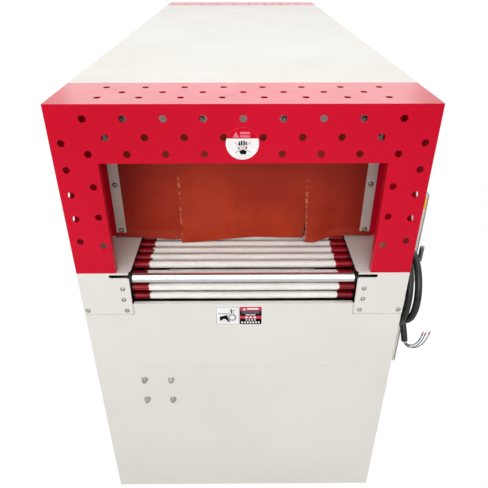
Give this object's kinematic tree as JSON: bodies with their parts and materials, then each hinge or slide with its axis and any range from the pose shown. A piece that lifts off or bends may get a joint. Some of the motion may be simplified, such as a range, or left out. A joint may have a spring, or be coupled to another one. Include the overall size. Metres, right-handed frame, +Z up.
{
  "type": "heat shrink tunnel",
  "caption": "Through-feed heat shrink tunnel: rod conveyor with silicone sleeves, slit heat curtains, perforated hand guards at both ends, side control box and cable.",
  "frame": {"origin": "on the floor, in the middle of the base cabinet", "axes": "+X across to the control box, +Y along the travel of the goods, +Z up"},
  "size_m": [0.9519, 2.1042, 1.205],
  "materials": {
    "white_paint": "satin powder coat",
    "red_paint": "satin powder coat",
    "steel": "bare",
    "dark_steel": "black oxide",
    "zinc": "bright zinc",
    "chrome": "polished",
    "cast_alloy": "as cast",
    "stainless": "mill",
    "curtain_cloth": "silicone coated",
    "red_silicone": "gloss",
    "white_sleeve": "woven glass",
    "mineral_wool": "matt",
    "guide_plastic": "matt",
    "black_plastic": "matt",
    "red_plastic": "gloss",
    "green_plastic": "gloss",
    "cable_jacket": "matt",
    "wire": "matt"
  },
  "bodies": {
    "machine": {"base_frame": "dark_steel", "drip_trays": "dark_steel", "front_panel": "white_paint", "rear_panel": "white_paint", "side_base_panels": "white_paint", "side_cover_plates": "white_paint", "corner_covers": "white_paint", "pan_head_screws": "zinc", "hood_shell": "white_paint", "mouth_plates": "red_paint", "tunnel_liner": "stainless", "insulation": "mineral_wool", "heater_tubes": "stainless", "front_guard": "red_paint", "rear_guard": "red_paint", "front_curtain": "curtain_cloth", "rear_curtain": "curtain_cloth", "curtain_clamps": "stainless", "conveyor_rails": "steel", "wear_strips": "guide_plastic", "shaft_bearings": "cast_alloy", "roller_brackets": "dark_steel", "gearmotor": "cast_alloy", "drive_chain": "steel", "motor_mount_bolts": "zinc", "fan_housing": "steel", "fan_motor": "dark_steel", "control_box": "white_paint", "door_hinges": "zinc", "cable_gland": "black_plastic", "cable_hook": "steel", "cable_lead": "cable_jacket", "cable_coil": "cable_jacket", "cable_tail": "cable_jacket", "cable_cores": "wire"},
    "top_run": {"top_run_chain": "steel", "top_run_tubes": "red_silicone", "top_run_sleeves": "white_sleeve"},
    "bottom_run": {"bottom_run_chain": "steel", "bottom_run_tubes": "red_silicone"},
    "front_nose": {"front_nose_chain": "steel", "front_nose_tubes": "red_silicone", "front_nose_sleeves": "white_sleeve", "front_sprocket_shaft": "steel"},
    "rear_nose": {"rear_nose_chain": "steel", "rear_nose_tubes": "red_silicone", "rear_nose_sleeves": "white_sleeve", "rear_sprocket_shaft": "steel"},
    "motor_output": {"motor_sprocket": "steel"},
    "front_roller": {"front_transfer_roller": "chrome"},
    "rear_roller": {"rear_transfer_roller": "chrome"},
    "front_flap": {"front_flap": "curtain_cloth"},
    "rear_flap": {"rear_flap": "curtain_cloth"},
    "fan": {"fan_impeller": "steel"},
    "box_door": {"control_door": "white_paint"},
    "isolator": {"isolator_handle": "black_plastic"},
    "estop": {"estop_button": "red_plastic"},
    "start": {"start_button": "green_plastic"},
    "speed": {"speed_knob": "black_plastic"},
    "service_door": {"service_door": "white_paint"}
  },
  "joints": [
    {"name": "conveyor_travel", "type": "slide", "parent": "machine", "child": "top_run", "axis": [0, 1, 0], "range_m": [0, 0.03175]},
    {"name": "return_travel", "type": "slide", "parent": "machine", "child": "bottom_run", "axis": [0, -1, 0], "range_m": [0, 0.03175]},
    {"name": "front_nose_turn", "type": "hinge", "parent": "machine", "child": "front_nose", "pos_m": [0, -0.9845, 0.7517], "axis": [-1, 0, 0], "range_deg": [0, 45.01]},
    {"name": "rear_nose_turn", "type": "hinge", "parent": "machine", "child": "rear_nose", "pos_m": [0, 0.984, 0.7517], "axis": [-1, 0, 0], "range_deg": [0, 45.01]},
    {"name": "motor_output_turn", "type": "hinge", "parent": "machine", "child": "motor_output", "pos_m": [-0.332, -0.9845, 0.4282], "axis": [-1, 0, 0], "range_deg": [0, 64.3]},
    {"name": "front_roller_spin", "type": "hinge", "parent": "machine", "child": "front_roller", "pos_m": [0, -1.0327, 0.7904], "axis": [-1, 0, 0], "continuous": true},
    {"name": "rear_roller_spin", "type": "hinge", "parent": "machine", "child": "rear_roller", "pos_m": [0, 1.0327, 0.7904], "axis": [-1, 0, 0], "continuous": true},
    {"name": "front_flap_swing", "type": "hinge", "parent": "machine", "child": "front_flap", "pos_m": [0, -0.8705, 0.96], "axis": [1, 0, 0], "range_deg": [-75, 80]},
    {"name": "rear_flap_swing", "type": "hinge", "parent": "machine", "child": "rear_flap", "pos_m": [0, 0.8705, 0.96], "axis": [1, 0, 0], "range_deg": [-80, 75]},
    {"name": "fan_spin", "type": "hinge", "parent": "machine", "child": "fan", "pos_m": [0, 0, 0.44], "axis": [0, 0, 1], "continuous": true},
    {"name": "control_door_swing", "type": "hinge", "parent": "machine", "child": "box_door", "pos_m": [0.52025, -0.267, 0.5595], "axis": [0, 0, 1], "range_deg": [0, 110]},
    {"name": "isolator_turn", "type": "hinge", "parent": "box_door", "child": "isolator", "pos_m": [0.521, -0.513, 0.8], "axis": [1, 0, 0], "range_deg": [0, 90]},
    {"name": "estop_press", "type": "slide", "parent": "box_door", "child": "estop", "axis": [-1, 0, 0], "range_m": [0, 0.006]},
    {"name": "start_press", "type": "slide", "parent": "box_door", "child": "start", "axis": [-1, 0, 0], "range_m": [0, 0.004], "stiffness_N_per_m": 600},
    {"name": "speed_turn", "type": "hinge", "parent": "box_door", "child": "speed", "pos_m": [0.521, -0.413, 0.8], "axis": [1, 0, 0], "range_deg": [-135, 135]},
    {"name": "service_door_swing", "type": "hinge", "parent": "machine", "child": "service_door", "pos_m": [-0.3954, -0.409, 0.41], "axis": [0, 0, 1], "range_deg": [-110, 0]}
  ],
  "couplings": [
    {"joint": "return_travel", "follows": "conveyor_travel", "ratio": 1},
    {"joint": "front_nose_turn", "follows": "conveyor_travel", "rad_per_m": 24.737},
    {"joint": "rear_nose_turn", "follows": "conveyor_travel", "rad_per_m": 24.737},
    {"joint": "motor_output_turn", "follows": "conveyor_travel", "rad_per_m": 35.339}
  ]
}
